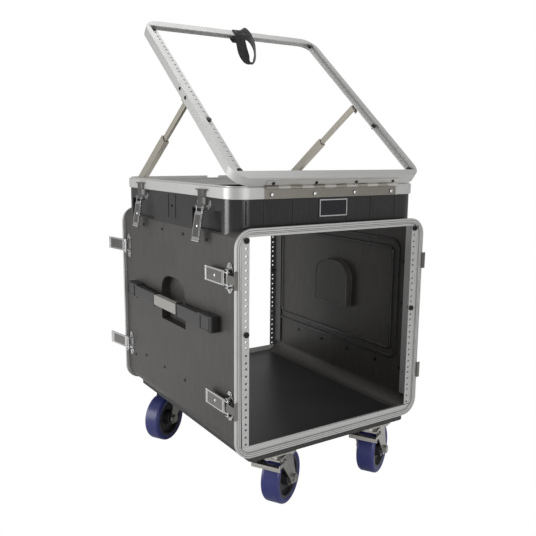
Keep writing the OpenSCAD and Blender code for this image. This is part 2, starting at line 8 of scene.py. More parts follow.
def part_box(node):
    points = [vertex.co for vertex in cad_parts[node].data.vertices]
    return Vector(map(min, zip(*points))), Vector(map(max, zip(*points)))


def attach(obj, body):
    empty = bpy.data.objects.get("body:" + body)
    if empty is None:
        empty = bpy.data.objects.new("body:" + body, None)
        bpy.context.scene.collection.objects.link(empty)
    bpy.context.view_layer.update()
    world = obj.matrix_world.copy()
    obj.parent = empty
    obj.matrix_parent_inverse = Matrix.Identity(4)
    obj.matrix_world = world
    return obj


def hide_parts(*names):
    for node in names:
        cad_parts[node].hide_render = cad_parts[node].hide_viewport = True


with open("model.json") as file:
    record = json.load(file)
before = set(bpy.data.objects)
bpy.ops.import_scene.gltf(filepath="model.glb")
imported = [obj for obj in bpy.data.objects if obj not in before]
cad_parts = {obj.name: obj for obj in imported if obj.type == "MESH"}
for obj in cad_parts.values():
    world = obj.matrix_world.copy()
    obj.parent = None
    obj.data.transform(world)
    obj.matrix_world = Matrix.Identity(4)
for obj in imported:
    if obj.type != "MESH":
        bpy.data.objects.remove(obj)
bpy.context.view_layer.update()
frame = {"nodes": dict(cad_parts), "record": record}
behaviour = frame["record"]["behaviour"]
# the body each node rides on, and the joint that carries each body
nodeBody = {node: body for body, nodes in behaviour["bodies"].items() for node in nodes}
bodyJoint = {joint["child"]: joint for joint in behaviour["joints"]}
mm = 0.001
worldAxes = (Vector((1, 0, 0)), Vector((0, 1, 0)), Vector((0, 0, 1)))


# node tree helpers

def newGroup(name, inputs, outputs):
    # every socket is a plain number: inputs come with their values, outputs by name
    group = bpy.data.node_groups.new(name, "ShaderNodeTree")
    for socket, value in inputs.items():
        made = group.interface.new_socket(socket, in_out="INPUT", socket_type="NodeSocketFloat")
        made.default_value = value
    for socket in outputs:
        group.interface.new_socket(socket, in_out="OUTPUT", socket_type="NodeSocketFloat")
    start = group.nodes.new("NodeGroupInput")
    end = group.nodes.new("NodeGroupOutput")
    return group, start, end


def addNode(tree, kind, settings=None, **values):
    node = tree.nodes.new(kind)
    for key, value in (settings or {}).items():
        setattr(node, key, value)
    for key, value in values.items():
        node.inputs[key.replace("_", " ")].default_value = value
    return node


def mathNode(tree, operation, a, b=None):
    # a maths node whose values are numbers or other nodes' outputs
    node = tree.nodes.new("ShaderNodeMath")
    node.operation = operation
    for index, value in enumerate((a, b)):
        if value is None:
            continue
        if isinstance(value, (int, float)):
            node.inputs[index].default_value = value
        else:
            tree.links.new(value, node.inputs[index])
    return node.outputs[0]


grainShape = {"flatTop": 0.25, "streakScale": 190.0, "streakStretch": 0.09, "cloudScale": 6.0,
              "linesFrom": 0.42, "linesTo": 0.68}


def makeMouldedGrain():
    # pebbles with flat tops, upright drag lines and a slow mottle
    group, start, end = newGroup("mouldedGrain", {"Grain Size": 260.0, "Streak": 0.5},
                                 ("Height", "Mottle", "Lines"))
    links = group.links
    coords = addNode(group, "ShaderNodeTexCoord")
    cells = addNode(group, "ShaderNodeTexVoronoi", {"feature": "DISTANCE_TO_EDGE"})
    links.new(coords.outputs["Object"], cells.inputs["Vector"])
    links.new(start.outputs["Grain Size"], cells.inputs["Scale"])
    stretch = addNode(group, "ShaderNodeMapping", Scale=(1.0, 1.0, grainShape["streakStretch"]))
    links.new(coords.outputs["Object"], stretch.inputs["Vector"])
    streaks = addNode(group, "ShaderNodeTexNoise", Scale=grainShape["streakScale"], Detail=4.0,
                      Roughness=0.65)
    links.new(stretch.outputs[0], streaks.inputs["Vector"])
    cloud = addNode(group, "ShaderNodeTexNoise", Scale=grainShape["cloudScale"], Detail=3.0)
    links.new(coords.outputs["Object"], cloud.inputs["Vector"])
    pebble = mathNode(group, "MINIMUM", cells.outputs["Distance"], grainShape["flatTop"])
    streak = mathNode(group, "MULTIPLY", streaks.outputs["Fac"], start.outputs["Streak"])
    links.new(mathNode(group, "ADD", pebble, streak), end.inputs["Height"])
    links.new(cloud.outputs["Fac"], end.inputs["Mottle"])
    lines = addNode(group, "ShaderNodeMapRange", From_Min=grainShape["linesFrom"],
                    From_Max=grainShape["linesTo"])
    links.new(streaks.outputs["Fac"], lines.inputs["Value"])
    shown = mathNode(group, "MULTIPLY", lines.outputs["Result"], start.outputs["Streak"])
    links.new(shown, end.inputs["Lines"])
    return group


def makeBrushMarks():
    # fine lines that run along y, and clouds of duller metal
    group, start, end = newGroup("brushMarks", {"Along": 4.0, "Across": 700.0},
                                 ("Height", "Cloud"))
    links = group.links
    coords = addNode(group, "ShaderNodeTexCoord")
    scale = addNode(group, "ShaderNodeCombineXYZ")
    links.new(start.outputs["Along"], scale.inputs["Y"])
    links.new(start.outputs["Across"], scale.inputs["X"])
    links.new(start.outputs["Across"], scale.inputs["Z"])
    stretched = addNode(group, "ShaderNodeVectorMath", {"operation": "MULTIPLY"})
    links.new(coords.outputs["Object"], stretched.inputs[0])
    links.new(scale.outputs[0], stretched.inputs[1])
    lines = addNode(group, "ShaderNodeTexNoise", Scale=1.0, Detail=2.0)
    links.new(stretched.outputs[0], lines.inputs["Vector"])
    cloud = addNode(group, "ShaderNodeTexNoise", Scale=14.0, Detail=5.0, Roughness=0.6)
    links.new(coords.outputs["Object"], cloud.inputs["Vector"])
    links.new(lines.outputs["Fac"], end.inputs["Height"])
    links.new(cloud.outputs["Fac"], end.inputs["Cloud"])
    return group


wearShape = {"gain": 9.0, "breakUp": 90.0}


def makeEdgeWear():
    # where a rounded normal leaves the true one there is an edge; noise breaks it up
    group, start, end = newGroup("edgeWear", {"Radius": 0.0016, "Amount": 0.6}, ("Mask",))
    links = group.links
    geometry = addNode(group, "ShaderNodeNewGeometry")
    rounded = addNode(group, "ShaderNodeBevel", {"samples": 4})
    links.new(start.outputs["Radius"], rounded.inputs["Radius"])
    agree = addNode(group, "ShaderNodeVectorMath", {"operation": "DOT_PRODUCT"})
    links.new(geometry.outputs["Normal"], agree.inputs[0])
    links.new(rounded.outputs["Normal"], agree.inputs[1])
    edge = mathNode(group, "SUBTRACT", 1.0, agree.outputs["Value"])
    edge = mathNode(group, "MULTIPLY", edge, wearShape["gain"])
    coords = addNode(group, "ShaderNodeTexCoord")
    breakUp = addNode(group, "ShaderNodeTexNoise", Scale=wearShape["breakUp"], Detail=4.0)
    links.new(coords.outputs["Object"], breakUp.inputs["Vector"])
    edge = mathNode(group, "MULTIPLY", edge, breakUp.outputs["Fac"])
    edge = mathNode(group, "MULTIPLY", edge, start.outputs["Amount"])
    clamp = addNode(group, "ShaderNodeClamp")
    links.new(edge, clamp.inputs["Value"])
    links.new(clamp.outputs[0], end.inputs["Mask"])
    return group


def makeDust():
    # specks in patches, thickest on faces that look up
    group, start, end = newGroup("dust", {"Amount": 0.2, "Speck Size": 160.0}, ("Mask",))
    links = group.links
    coords = addNode(group, "ShaderNodeTexCoord")
    specks = addNode(group, "ShaderNodeTexNoise", Detail=6.0, Roughness=0.7)
    links.new(coords.outputs["Object"], specks.inputs["Vector"])
    links.new(start.outputs["Speck Size"], specks.inputs["Scale"])
    patches = addNode(group, "ShaderNodeTexNoise", Scale=5.0, Detail=3.0)
    links.new(coords.outputs["Object"], patches.inputs["Vector"])
    geometry = addNode(group, "ShaderNodeNewGeometry")
    parts = addNode(group, "ShaderNodeSeparateXYZ")
    links.new(geometry.outputs["Normal"], parts.inputs[0])
    up = mathNode(group, "MULTIPLY_ADD", parts.outputs["Z"], 0.5)
    up.node.inputs[2].default_value = 0.5
    mask = mathNode(group, "MULTIPLY", specks.outputs["Fac"], patches.outputs["Fac"])
    mask = mathNode(group, "MULTIPLY", mask, up)
    mask = mathNode(group, "MULTIPLY", mask, start.outputs["Amount"])
    links.new(mask, end.inputs["Mask"])
    return group


def makeWeave():
    # two slanting sets of ribs that cross, and the fuzz of the thread
    group, start, end = newGroup("webbingWeave", {"Ribs": 900.0, "Rows": 420.0},
                                 ("Height", "Thread"))
    links = group.links
    coords = addNode(group, "ShaderNodeTexCoord")
    parts = addNode(group, "ShaderNodeSeparateXYZ")
    links.new(coords.outputs["Object"], parts.inputs[0])
    across = mathNode(group, "MULTIPLY", parts.outputs["X"], start.outputs["Ribs"])
    along = mathNode(group, "MULTIPLY", parts.outputs["Z"], start.outputs["Rows"])
    rising = mathNode(group, "ADD", across, along)
    rib = mathNode(group, "ABSOLUTE", mathNode(group, "SINE", rising))
    falling = mathNode(group, "SUBTRACT", across, along)
    row = mathNode(group, "ABSOLUTE", mathNode(group, "SINE", falling))
    links.new(mathNode(group, "MULTIPLY", rib, row), end.inputs["Height"])
    fibre = addNode(group, "ShaderNodeTexNoise", Scale=600.0, Detail=3.0)
    links.new(coords.outputs["Object"], fibre.inputs["Vector"])
    links.new(fibre.outputs["Fac"], end.inputs["Thread"])
    return group


groups = {"grain": makeMouldedGrain(), "brush": makeBrushMarks(), "wear": makeEdgeWear(),
          "dust": makeDust(), "weave": makeWeave()}
print("shader groups made:", len(groups))


class Finish:
    # a material with its Principled shader and the few chains every finish needs
    def __init__(self, name, color, roughness, metallic=0.0):
        self.material = bpy.data.materials.new(name)
        self.material.use_nodes = True
        self.tree = self.material.node_tree
        self.shader = self.tree.nodes["Principled BSDF"]
        self.shader.inputs["Base Color"].default_value = (*color, 1.0)
        self.shader.inputs["Roughness"].default_value = roughness
        self.shader.inputs["Metallic"].default_value = metallic
        self.material.diffuse_color = (*color, 1.0)
        self.color = color
        self.colorOut = None

    def group(self, key, **values):
        node = self.tree.nodes.new("ShaderNodeGroup")
        node.node_tree = groups[key]
        for socket, value in values.items():
            node.inputs[socket].default_value = value
        return node

    def mixColor(self, mask, color):
        mix = self.tree.nodes.new("ShaderNodeMix")
        mix.data_type = "RGBA"
        if self.colorOut is None:
            mix.inputs["A"].default_value = (*self.color, 1.0)
        else:
            self.tree.links.new(self.colorOut, mix.inputs["A"])
        mix.inputs["B"].default_value = (*color, 1.0)
        self.tree.links.new(mask, mix.inputs["Factor"])
        self.colorOut = mix.outputs["Result"]
        self.tree.links.new(self.colorOut, self.shader.inputs["Base Color"])

    def varyRoughness(self, value, low, high):
        spread = self.tree.nodes.new("ShaderNodeMapRange")
        spread.inputs["To Min"].default_value = low
        spread.inputs["To Max"].default_value = high
        self.tree.links.new(value, spread.inputs["Value"])
        self.tree.links.new(spread.outputs["Result"], self.shader.inputs["Roughness"])

    def bump(self, height, strength, distance):
        node = addNode(self.tree, "ShaderNodeBump", Strength=strength, Distance=distance)
        self.tree.links.new(height, node.inputs["Height"])
        self.tree.links.new(node.outputs["Normal"], self.shader.inputs["Normal"])


def tinted(color, times, plus=0.0):
    return tuple(min(1.0, part * times + plus) for part in color)


dustColors = {"plastic": (0.35, 0.34, 0.32), "rubber": (0.30, 0.29, 0.28)}


def mouldedPlastic(name, color, roughness, grainSize=260.0, streak=0.5, strength=0.35,
                   dustAmount=0.12):
    finish = Finish(name, color, roughness)
    grain = finish.group("grain", **{"Grain Size": grainSize, "Streak": streak})
    wear = finish.group("wear", Amount=0.25)
    dust = finish.group("dust", Amount=dustAmount)
    finish.mixColor(grain.outputs["Mottle"], tinted(color, 1.5, 0.004))
    finish.mixColor(grain.outputs["Lines"], tinted(color, 3.2, 0.008))
    finish.mixColor(wear.outputs["Mask"], tinted(color, 1.0, 0.10))
    finish.mixColor(dust.outputs["Mask"], dustColors["plastic"])
    finish.varyRoughness(grain.outputs["Mottle"], roughness - 0.08, roughness + 0.10)
    finish.bump(grain.outputs["Height"], strength, 0.0006)
    return finish.material


def bareMetal(name, color, roughness, across=700.0, strength=0.06, wear=0.4, metallic=1.0):
    # dulled in clouds, brightened along worn edges
    finish = Finish(name, color, roughness, metallic)
    brush = finish.group("brush", Across=across)
    edge = finish.group("wear", Amount=wear)
    finish.mixColor(brush.outputs["Cloud"], tinted(color, 0.80))
    finish.mixColor(edge.outputs["Mask"], tinted(color, 1.25, 0.05))
    finish.varyRoughness(brush.outputs["Cloud"], max(0.04, roughness - 0.07), roughness + 0.10)
    finish.bump(brush.outputs["Height"], strength, 0.0002)
    return finish.material


def rolledRubber(name, color, roughness, grainSize, strength):
    finish = Finish(name, color, roughness)
    grain = finish.group("grain", **{"Grain Size": grainSize, "Streak": 0.0})
    dust = finish.group("dust", Amount=0.25)
    finish.mixColor(grain.outputs["Mottle"], tinted(color, 1.5, 0.006))
    finish.mixColor(dust.outputs["Mask"], dustColors["rubber"])
    finish.varyRoughness(grain.outputs["Mottle"], roughness - 0.05, roughness + 0.1)
    finish.bump(grain.outputs["Height"], strength, 0.0004)
    return finish.material


def wovenWebbing(name, color):
    finish = Finish(name, color, 0.8)
    weave = finish.group("weave")
    finish.mixColor(weave.outputs["Thread"], tinted(color, 2.4))
    finish.varyRoughness(weave.outputs["Thread"], 0.68, 0.92)
    finish.bump(weave.outputs["Height"], 0.8, 0.0006)
    finish.shader.inputs["Sheen Weight"].default_value = 0.3
    finish.shader.inputs["Sheen Roughness"].default_value = 0.5
    return finish.material


finishes = {
    "shell_black": mouldedPlastic("shellBlack", (0.016, 0.0145, 0.0125), 0.44),
    "floor_black": mouldedPlastic("floorBlack", (0.007, 0.007, 0.008), 0.36, 420.0, 0.0, 0.2, 0.06),
    "board_black": mouldedPlastic("boardBlack", (0.008, 0.008, 0.008), 0.62, 120.0, 0.6, 0.5, 0.2),
    "frame_aluminium": bareMetal("frameAluminium", (0.53, 0.53, 0.52), 0.46, 500.0, 0.004, 0.15, 0.6),
    "rail_steel": bareMetal("railSteel", (0.50, 0.50, 0.495), 0.46, 300.0, 0.004, 0.15, 0.6),
    "latch_chrome": bareMetal("latchChrome", (0.66, 0.66, 0.66), 0.15, 200.0, 0.02, 0.3),
    "hinge_steel": bareMetal("hingeSteel", (0.40, 0.375, 0.335), 0.28, 500.0, 0.02),
    "strut_zinc": bareMetal("strutZinc", (0.58, 0.545, 0.47), 0.30, 260.0, 0.03, 0.3, 0.85),
    "caster_zinc": bareMetal("casterZinc", (0.50, 0.49, 0.46), 0.30, 240.0, 0.05),
    "bolt_black": bareMetal("boltBlack", (0.030, 0.030, 0.031), 0.38, 200.0, 0.03),
    "handle_black": mouldedPlastic("handleBlack", (0.007, 0.007, 0.007), 0.34, 500.0, 0.0, 0.25, 0.06),
    "grip_grey": rolledRubber("gripGrey", (0.22, 0.217, 0.20), 0.6, 700.0, 0.4),
    "tyre_navy": rolledRubber("tyreNavy", (0.010, 0.014, 0.105), 0.30, 300.0, 0.10),
    "core_dark": mouldedPlastic("coreDark", (0.014, 0.014, 0.018), 0.34, 300.0, 0.1, 0.2, 0.15),
    "badge_dark": bareMetal("badgeDark", (0.05, 0.05, 0.055), 0.35, 400.0, 0.03),
    "webbing_black": wovenWebbing("webbingBlack", (0.007, 0.007, 0.008)),
}
glossShell = mouldedPlastic("collarBlack", (0.010, 0.010, 0.010), 0.22, 260.0, 0.2, 0.10, 0.05)
darkChrome = bareMetal("darkChrome", (0.22, 0.21, 0.20), 0.22, 200.0, 0.03, 0.2)
# painted shade: a dark copy of the rail steel, used for the rear rails, which stand in shade, and for
# the groove lines on the frames
paintedShadeSteel = bareMetal("paintedShadeSteel", (0.10, 0.10, 0.10), 0.5, 300.0, 0.03, 0.2, 0.5)
# painted light: a lighter copy of the hinge steel for the upper leaf, standing in for the light on it;
# the lower leaf keeps the plain hinge steel
paintedLightLeaf = bareMetal("paintedLightLeaf", (0.56, 0.55, 0.52), 0.30, 500.0, 0.04, 0.3, 0.8)
# nodes that wear something other than their slot's own finish; the rear rails wear painted shade and
# the upper hinge leaf painted light
special = {"collar": glossShell, "rear_rails": paintedShadeSteel, "hinge_upper_leaf": paintedLightLeaf,
           "latch_claws": darkChrome}
print("finishes made:", len(finishes))

slotOf = {part["node"]: part["material_slot"] for part in frame["record"]["subparts"]}
for node, obj in frame["nodes"].items():
    obj.data.materials.clear()
    obj.data.materials.append(special.get(node, finishes[slotOf[node]]))


# mesh helpers

def finishMesh(obj, slotName, smoothAngle=35.0):
    obj.data.materials.clear()
    obj.data.materials.append(finishes[slotName])
    for polygon in obj.data.polygons:
        polygon.use_smooth = True
    obj.data.set_sharp_from_angle(angle=radians(smoothAngle))


def joinRings(bm, here, after):
    # a closed strip of four-sided faces between two rings of the same count
    for k in range(len(here)):
        nextK = (k + 1) % len(here)
        bm.faces.new((here[k], here[nextK], after[nextK], after[k]))


def meshObject(name, bm):
    bmesh.ops.recalc_face_normals(bm, faces=bm.faces)
    mesh = bpy.data.meshes.new(name)
    bm.to_mesh(mesh)
    bm.free()
    obj = bpy.data.objects.new(name, mesh)
    bpy.context.scene.collection.objects.link(obj)
    return obj


def applyModifiers(obj):
    graph = bpy.context.evaluated_depsgraph_get()
    mesh = bpy.data.meshes.new_from_object(obj.evaluated_get(graph))
    obj.modifiers.clear()
    obj.data = mesh


cleaning = {"weld": 0.02 * mm, "flat": 1.5}


def cleanMesh(node):
    # the node's own mesh with its doubled corners welded and its flat faces made whole
    bm = bmesh.new()
    bm.from_mesh(frame["nodes"][node].data)
    bmesh.ops.remove_doubles(bm, verts=bm.verts, dist=cleaning["weld"])
    bmesh.ops.dissolve_limit(bm, angle_limit=radians(cleaning["flat"]), verts=bm.verts,
                             edges=bm.edges)
    return bm


def softened(node, width, segments, angle=40.0):
    # the clean mesh with every hard edge rounded by a small radius
    bm = cleanMesh(node)
    obj = meshObject(node + "_shown", bm)
    if width:
        bevel = obj.modifiers.new("soften", "BEVEL")
        bevel.width = width
        bevel.segments = segments
        bevel.limit_method = "ANGLE"
        bevel.angle_limit = radians(angle)
        bevel.use_clamp_overlap = True
        applyModifiers(obj)
    finishMesh(obj, slotOf[node])
    obj.data.materials[0] = special.get(node, obj.data.materials[0])
    weighted = obj.modifiers.new("faceNormals", "WEIGHTED_NORMAL")
    weighted.keep_sharp = True
    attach(obj, nodeBody[node])
    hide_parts(node)


# each node's edge radius in mm and the number of steps round it
roundings = {
    "front_frame": (1.8, 3), "rear_frame": (1.8, 3), "base_frame": (1.2, 2), "lid_frame": (1.8, 3),
    "side_left": (0.6, 1), "side_right": (0.6, 1), "collar": (0.8, 2), "handle_bars": (3.0, 3),
    "handle_grips": (2.0, 3), "base_board": (1.5, 2), "latch_bases": (0.4, 1),
    "latch_claws": (0.5, 2), "strut_base_brackets": (0.5, 1), "strut_lid_brackets": (0.5, 1),
    "caster_plates": (0.6, 1), "strut_channel_left": (0.5, 1), "strut_channel_right": (0.5, 1),
    "strut_rod_left": (0.8, 2), "strut_rod_right": (0.8, 2), "pedal_left": (0.5, 1),
    "pedal_right": (0.5, 1),
}
familyRoundings = {"lever_": (0.5, 2), "fork_": (0.6, 2), "wheel_core_": (1.0, 2), "tyre_": (0, 0)}
for node in frame["nodes"]:
    for family, rounding in familyRoundings.items():
        if node.startswith(family):
            roundings[node] = rounding
for node, (width, segments) in roundings.items():
    softened(node, width * mm, segments)
print("rounded pieces:", len(roundings))


# pull strap: a band round the lid's rear member and a hand loop hanging from it

# widths and thickness in mm, then where the band turns round the member, along the lid and up
# from it, and the rows of stitches
strapShape = {"width": 31, "hand": 27, "thick": 2.1, "near": 558.7, "far": 583.6, "under": -0.8,
              "over": 25.0, "crown": 0.3, "inset": 2.2}
stitching = {"rows": 2, "count": 8, "gap": 2.9, "rowGap": 5, "start": (5, -3, -14.4), "radius": 0.5}
lidTilt = 38.9


def lidAxes():
    # where the lid lies at rest: its hinge, and the directions along it and up from it
    tilt = radians(lidTilt)
    hinge = Vector(bodyJoint["lid"]["pos_m"])
    return hinge, Vector((0, cos(tilt), sin(tilt))), Vector((0, -sin(tilt), cos(tilt)))


def smoothPath(points, steps, closed):
    # points joined by a Catmull-Rom curve
    count = len(points)
    path = []
    spans = count if closed else count - 1
    for i in range(spans):
        if closed:
            a, b, c, d = (points[(i + k) % count] for k in (-1, 0, 1, 2))
        else:
            a, b, c, d = (points[min(max(i + k, 0), count - 1)] for k in (-1, 0, 1, 2))
        for step in range(steps):
            t = step / steps
            path.append(0.5 * ((2 * b) + (c - a) * t + (2 * a - 5 * b + 4 * c - d) * t * t
                               + (3 * b - a - 3 * c + d) * t * t * t))
    if not closed:
        path.append(points[-1].copy())
    return path


def webbingBand(name, path, leans, closed, width, thick):
    # webbing that runs along the path, its width lying along leans, with rounded selvedges
    half, rim = width / 2, thick / 2
    profile = [(-half + rim, rim), (half - rim, rim), (half, rim * 0.4), (half, -rim * 0.4),
               (half - rim, -rim), (-half + rim, -rim), (-half, -rim * 0.4), (-half, rim * 0.4)]
    bm = bmesh.new()
    rings = []
    count = len(path)
    for i, point in enumerate(path):
        ahead = path[(i + 1) % count] if closed else path[min(i + 1, count - 1)]
        along = (ahead - path[i - 1 if closed else max(i - 1, 0)]).normalized()
        side = (leans[i] - along * leans[i].dot(along)).normalized()
        outward = side.cross(along)
        rings.append([bm.verts.new(point + side * across + outward * out)
                      for across, out in profile])
    for i in range(count if closed else count - 1):
        joinRings(bm, rings[i], rings[(i + 1) % count])
    if not closed:
        bm.faces.new(rings[0])
        bm.faces.new(list(reversed(rings[-1])))
    return meshObject(name, bm)


def makeStrap():
    hinge, along, up = lidAxes()
    low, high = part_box("strap")
    middleX = Vector(((low.x + high.x) / 2, 0, 0))
    near, far, under, over, crown, inset = (
        strapShape[key] * mm for key in ("near", "far", "under", "over", "crown", "inset"))
    corners = [(near, under), (near, (under + over) / 2), (near, over),
               ((near + far) / 2, over + crown), (far, over), (far, (under + over) / 2),
               (far, under), ((near + far) / 2, under)]
    around = [hinge + middleX + along * u + up * w for u, w in corners]
    middle = sum(around, Vector()) / len(around)
    around = [point + (middle - point).normalized() * (inset if i % 2 == 0 else 0)
              for i, point in enumerate(around)]
    around = smoothPath(around, 5, True)
    band = webbingBand("strap_band", around, [worldAxes[0]] * len(around), True,
                       strapShape["width"] * mm, strapShape["thick"] * mm)
    # the hand loop: right, up and back from the band's middle in mm, and how its width lies there
    slant = Matrix(((0.837, 0, 0.548), (-0.548, 0, 0.837), (0, 1, 0)))
    drape = [((2, 16, 4), (0.84, 0.1, 0.54)), ((13, 15, 0), (0.70, 0.45, 0.5)),
             ((27, 2, 0), (0.62, 0.5, 0.6)), ((39, -15, 3), (0.40, 0.3, 0.86)),
             ((45, -36, 5), (0.16, 0.1, 0.98)), ((45, -54, 5), (0.14, 0.0, 0.99)),
             ((38, -65, 1), (0.3, 0.1, 0.94)), ((25, -59, -4), (0.7, 0.25, 0.66)),
             ((15, -40, -9), (0.95, 0, 0.3)), ((10, -20, -11), (0.93, 0, 0.37)),
             ((7, -5, -13), (0.88, 0.03, 0.47)), ((3, 9, -13), (0.84, 0.1, 0.54))]
    path = smoothPath([middle + slant @ (Vector(place) * mm) for place, lean in drape], 6, False)
    leans = smoothPath([slant @ Vector(lean) for place, lean in drape], 6, False)
    hand = webbingBand("strap_hand_loop", path, leans, False,
                       strapShape["hand"] * mm, strapShape["thick"] * mm)
    bm = bmesh.new()
    across, down, out = stitching["start"]
    long = Matrix.Diagonal((2.0, 1.2, 1.0, 1.0))
    for row in range(stitching["rows"]):
        for k in range(stitching["count"]):
            stitch = Vector((across + (k - (stitching["count"] - 1) / 2) * stitching["gap"],
                             down - row * stitching["rowGap"], out))
            place = middle + slant @ (stitch * mm)
            bmesh.ops.create_uvsphere(bm, u_segments=8, v_segments=5, radius=stitching["radius"] * mm,
                                      matrix=Matrix.Translation(place) @ long)
    stitches = meshObject("strap_stitches", bm)
    for piece in (band, hand, stitches):
        finishMesh(piece, "webbing_black", 50)
        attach(piece, "lid")
        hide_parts("strap")


makeStrap()
print("strap made")


# small fittings

def lathe(bm, profile, segments, matrix):
    # profile of (radius, height) spun round local z
    rings = []
    for radius, height in profile:
        if radius < 1e-6:
            rings.append([bm.verts.new(matrix @ Vector((0, 0, height)))])
            continue
        turns = [2 * pi * k / segments for k in range(segments)]
        rings.append([bm.verts.new(matrix @ Vector((radius * cos(turn), radius * sin(turn), height)))
                      for turn in turns])
    for here, after in zip(rings, rings[1:]):
        if len(after) > 1:
            joinRings(bm, here, after)
            continue
        for k in range(segments):     # the last ring is a point, so the strip is a fan
            bm.faces.new((here[k], here[(k + 1) % segments], after[0]))


def facing(place, direction):
    # a matrix at place whose z looks along direction
    turn = Vector(direction).to_track_quat("Z", "Y").to_matrix().to_4x4()
    return Matrix.Translation(place) @ turn


def domeHead(bm, place, direction, radius, height):
    # a low dome; its foot sinks a little into the face
    profile = [(radius * sin(radians(90 - rise)) if rise < 90 else 0, height * sin(radians(rise)))
               for rise in (0, 25, 50, 72, 90)]
    profile.insert(0, (radius, -0.2 * mm))
    lathe(bm, profile, 20, facing(place, direction))


def screwHead(bm, place, direction, radius, height):
    # pan head with a round recess
    profile = [(radius, -0.3 * mm), (radius, height * 0.45), (radius * 0.86, height * 0.85),
               (radius * 0.62, height), (radius * 0.5, height), (radius * 0.44, height * 0.35),
               (0, height * 0.3)]
    lathe(bm, profile, 18, facing(place, direction))


def makePieces(name, build, slotName, body, look=None):
    # one object that build fills, riding on body, in its slot's finish or in look
    bm = bmesh.new()
    build(bm)
    obj = meshObject(name, bm)
    finishMesh(obj, slotName)
    if look:
        obj.data.materials[0] = look
    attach(obj, body)


# mm from the hinge along the lid and up from it
lidScrews = {"along": (278, 312), "up": 13.5, "radius": 4.2, "height": 1.6}


def lidSideScrews(bm):
    hinge, along, up = lidAxes()
    low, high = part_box("lid_frame")
    for x, side in ((low.x, -1), (high.x, 1)):
        for distance in lidScrews["along"]:
            place = hinge + along * (distance * mm) + up * (lidScrews["up"] * mm)
            screwHead(bm, Vector((x, place.y, place.z)), (side, 0, 0),
                      lidScrews["radius"] * mm, lidScrews["height"] * mm)


makePieces("lid_side_screws", lidSideScrews, "bolt_black", "lid")


badgeRim = {"wide": 2.2, "proud": 0.9, "bevel": 0.3}


def badgeBorder(bm):
    low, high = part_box("badge")
    rim, out = badgeRim["wide"] * mm, badgeRim["proud"] * mm
    front = low.y
    for x0, x1, z0, z1 in ((low.x, high.x, low.z, low.z + rim), (low.x, high.x, high.z - rim, high.z),
                           (low.x, low.x + rim, low.z + rim, high.z - rim),
                           (high.x - rim, high.x, low.z + rim, high.z - rim)):
        centre = Vector(((x0 + x1) / 2, front - out / 2, (z0 + z1) / 2))
        size = Matrix.Diagonal((x1 - x0, out, z1 - z0, 1.0))
        bmesh.ops.create_cube(bm, size=1.0, matrix=Matrix.Translation(centre) @ size)
    bmesh.ops.bevel(bm, geom=bm.edges[:], offset=badgeRim["bevel"] * mm, segments=2, affect="EDGES")


makePieces("badge_border", badgeBorder, "rail_steel", "case")


# mm: how far the ring's foot is from the wheel's middle, then its section as (radius, height)
wheelRing = {"out": 9.2, "sides": 48,
             "section": [(24, -0.4), (24, 1.4), (26, 2.0), (39, 2.0), (41, 1.4), (41, -0.4)]}


def wheelCaps(bm, wheel):
    low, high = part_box("tyre_" + wheel)
    centre = (low + high) / 2
    axle = Vector(bodyJoint["wheel_" + wheel]["axis"]).normalized()
    for side in (-1, 1):
        face = centre + axle * side * wheelRing["out"] * mm
        section = [(radius * mm, height * mm) for radius, height in wheelRing["section"]]
        lathe(bm, section, wheelRing["sides"], facing(face, axle * side))


for wheel in ("front_left", "front_right", "rear_left", "rear_right"):
    makePieces("wheel_rings_" + wheel, lambda bm: wheelCaps(bm, wheel), "core_dark",
               "wheel_" + wheel)
print("fittings made")


# mm: start and tip are measured from the pin and from the plate's end, back is the rear face
leverTrim = {"rim": 3.4, "proud": 0.9, "screw": 3.6, "start": 14, "tip": 1.5, "half": 15.6,
             "back": 2.45, "skin": 0.3}


def block(bm, centre, axes, sizes, bevel):
    # a box laid along three directions, its edges rounded
    turn = Matrix(axes).transposed().to_4x4()
    made = bmesh.ops.create_cube(bm, size=1.0, matrix=Matrix.Translation(centre) @ turn
                                 @ Matrix.Diagonal((*sizes, 1.0)))
    edges = list({edge for vert in made["verts"] for edge in vert.link_edges})
    bmesh.ops.bevel(bm, geom=edges, offset=bevel, segments=2, affect="EDGES")


def leverAxes(node):
    # a lever's pin, its plate's outward, length and width directions from the largest face,
    # and how far that face reaches and stands from the pin
    bm = cleanMesh(node)
    face = max(bm.faces, key=lambda f: f.calc_area())
    normal = face.normal.copy()
    width = Vector(bodyJoint[nodeBody[node]]["axis"]).normalized()
    pin = Vector(bodyJoint[nodeBody[node]]["pos_m"])
    length = width.cross(normal)
    if length.dot(face.calc_center_median() - pin) < 0:
        length = -length
    reach = [(vert.co - pin).dot(length) for vert in face.verts]
    level = (face.verts[0].co - pin).dot(normal)
    bm.free()
    return pin, normal, length, width, max(reach), level


def leverDress(bm, node, part):
    pin, normal, length, width, reach, level = leverAxes(node)
    rim, proud, start, half, skin = (
        leverTrim[key] * mm for key in ("rim", "proud", "start", "half", "skin"))
    end = reach - leverTrim["tip"] * mm
    axes = (length, width, normal)
    centre = pin + length * (start + end) / 2 + normal * level
    if part == "rim":
        for side in (-1, 1):
            block(bm, centre + width * side * (half - rim / 2) + normal * proud / 2, axes,
                  (end - start, rim, proud * 1.4), 0.3 * mm)
            block(bm, centre + length * side * ((end - start - rim) / 2) + normal * proud / 2,
                  axes, (rim, 2 * half - 1.6 * rim, proud * 1.35), 0.3 * mm)
        domeHead(bm, centre + normal * 0.1 * mm, normal, leverTrim["screw"] * mm, 1.6 * mm)
        return
    # the darker panels inside the rim, one on each face of the plate
    block(bm, centre + normal * 0.05 * mm, axes,
          (end - start - rim, 2 * half - rim, skin), 0.05 * mm)
    block(bm, centre - normal * leverTrim["back"] * mm, axes,
          (end - start - 14 * mm, 2 * half - 7 * mm, skin), 0.05 * mm)


